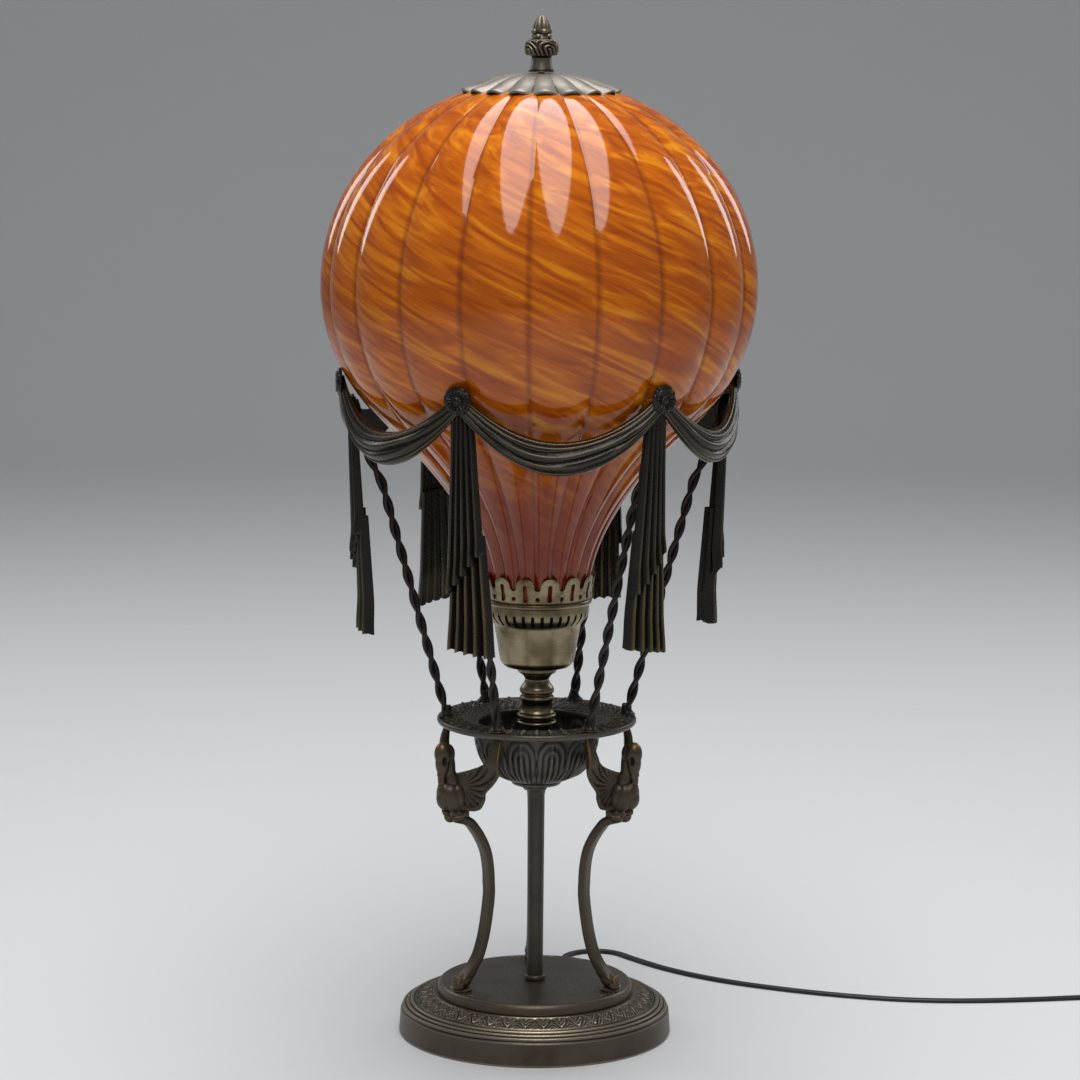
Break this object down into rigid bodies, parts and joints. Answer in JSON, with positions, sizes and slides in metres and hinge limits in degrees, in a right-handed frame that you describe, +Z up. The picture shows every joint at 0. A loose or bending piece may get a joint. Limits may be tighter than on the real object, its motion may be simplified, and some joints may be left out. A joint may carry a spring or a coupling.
{
  "type": "table lamp",
  "caption": "Table lamp shaped as a hot-air balloon: ribbed amber glass in a draped bronze frame with ropes, a gondola and swan legs.",
  "frame": {"origin": "middle of the foot's underside, on the table", "axes": "+Z up along the column and the balloon's axis; the lamp's front looks along -Y, +X to its right as seen from the front"},
  "size_m": [0.6683, 0.3659, 0.725],
  "materials": {
    "foot_bronze": "dark brown bronze patina, rubbed bright on its edges",
    "column_bronze": "dark bronze patina, satin",
    "gondola_bronze": "cast dark bronze patina, rubbed relief",
    "swan_bronze": "cast bronze patina with golden worn edges",
    "rope_bronze": "near black bronze patina",
    "drape_bronze": "near black bronze patina with gilt rubbed folds",
    "antique_brass": "brushed antique brass",
    "contact_brass": "bright brass",
    "steel_hardware": "zinc plated steel",
    "pewter_bronze": "greyed bronze patina, satin",
    "felt": "pressed wool felt",
    "black_plastic": "moulded, half gloss",
    "lead_black": "soft PVC, half gloss",
    "phenolic": "moulded phenolic",
    "bulb_metal": "stamped sheet",
    "bulb_opal": "opal",
    "amber_glass": "cased amber glass with brown swirls, glossy",
    "plug_nickel": "nickel plated"
  },
  "bodies": {
    "lamp": {"base_plinth": "foot_bronze", "base_platform": "foot_bronze", "base_felt": "felt", "base_washer": "steel_hardware", "base_nut": "steel_hardware", "leg_screws": "steel_hardware", "cord_bushing": "black_plastic", "supply_lead": "lead_black", "column_tube": "column_bronze", "column_collar": "column_bronze", "threaded_rod": "steel_hardware", "bowl_washer": "column_bronze", "gondola_bowl": "gondola_bronze", "gondola_ring": "gondola_bronze", "rosettes": "drape_bronze", "leg_front_left": "swan_bronze", "leg_front_right": "swan_bronze", "leg_back": "swan_bronze", "swan_front_left": "swan_bronze", "swan_front_right": "swan_bronze", "swan_back": "swan_bronze", "rope_right": "rope_bronze", "rope_back_right": "rope_bronze", "rope_back_left": "rope_bronze", "rope_left": "rope_bronze", "rope_front_left": "rope_bronze", "rope_front_right": "rope_bronze", "swag_right_back": "drape_bronze", "swag_back": "drape_bronze", "swag_left_back": "drape_bronze", "swag_left_front": "drape_bronze", "swag_front": "drape_bronze", "swag_right_front": "drape_bronze", "tail_right": "drape_bronze", "tail_back_right": "drape_bronze", "tail_back_left": "drape_bronze", "tail_left": "drape_bronze", "tail_front_left": "drape_bronze", "tail_front_right": "drape_bronze", "stem_baluster": "antique_brass", "socket_cup": "antique_brass", "shade_gallery": "antique_brass", "lamp_socket": "phenolic", "socket_contact": "contact_brass", "cord_run": "lead_black", "cord_coil": "lead_black", "cord_tail": "lead_black", "coil_tie": "lead_black", "switch_body": "black_plastic", "plug_body": "black_plastic", "plug_pins": "plug_nickel"},
    "shade": {"balloon_shade": "amber_glass"},
    "cap": {"shade_cap": "pewter_bronze", "cap_spring": "steel_hardware", "finial_stud": "antique_brass"},
    "finial_knob": {"finial": "pewter_bronze"},
    "bulb": {"bulb_base": "bulb_metal", "bulb_glass": "bulb_opal"},
    "rocker": {"switch_rocker": "black_plastic"}
  },
  "joints": [
    {"name": "shade_lift", "type": "slide", "parent": "lamp", "child": "shade", "axis": [0, 0, 1], "range_m": [0, 0.16]},
    {"name": "cap_lift", "type": "slide", "parent": "shade", "child": "cap", "axis": [0, 0, 1], "range_m": [0, 0.04]},
    {"name": "finial_turn", "type": "hinge", "parent": "cap", "child": "finial_knob", "pos_m": [0, 0, 0.7], "axis": [0, 0, 1], "continuous": true},
    {"name": "bulb_turn", "type": "hinge", "parent": "lamp", "child": "bulb", "pos_m": [0, 0, 0.33], "axis": [0, 0, 1], "continuous": true},
    {"name": "switch_rock", "type": "hinge", "parent": "lamp", "child": "rocker", "pos_m": [0.503, -0.01, 0.0135], "axis": [1, 0, 0], "range_deg": [0, 16]}
  ]
}
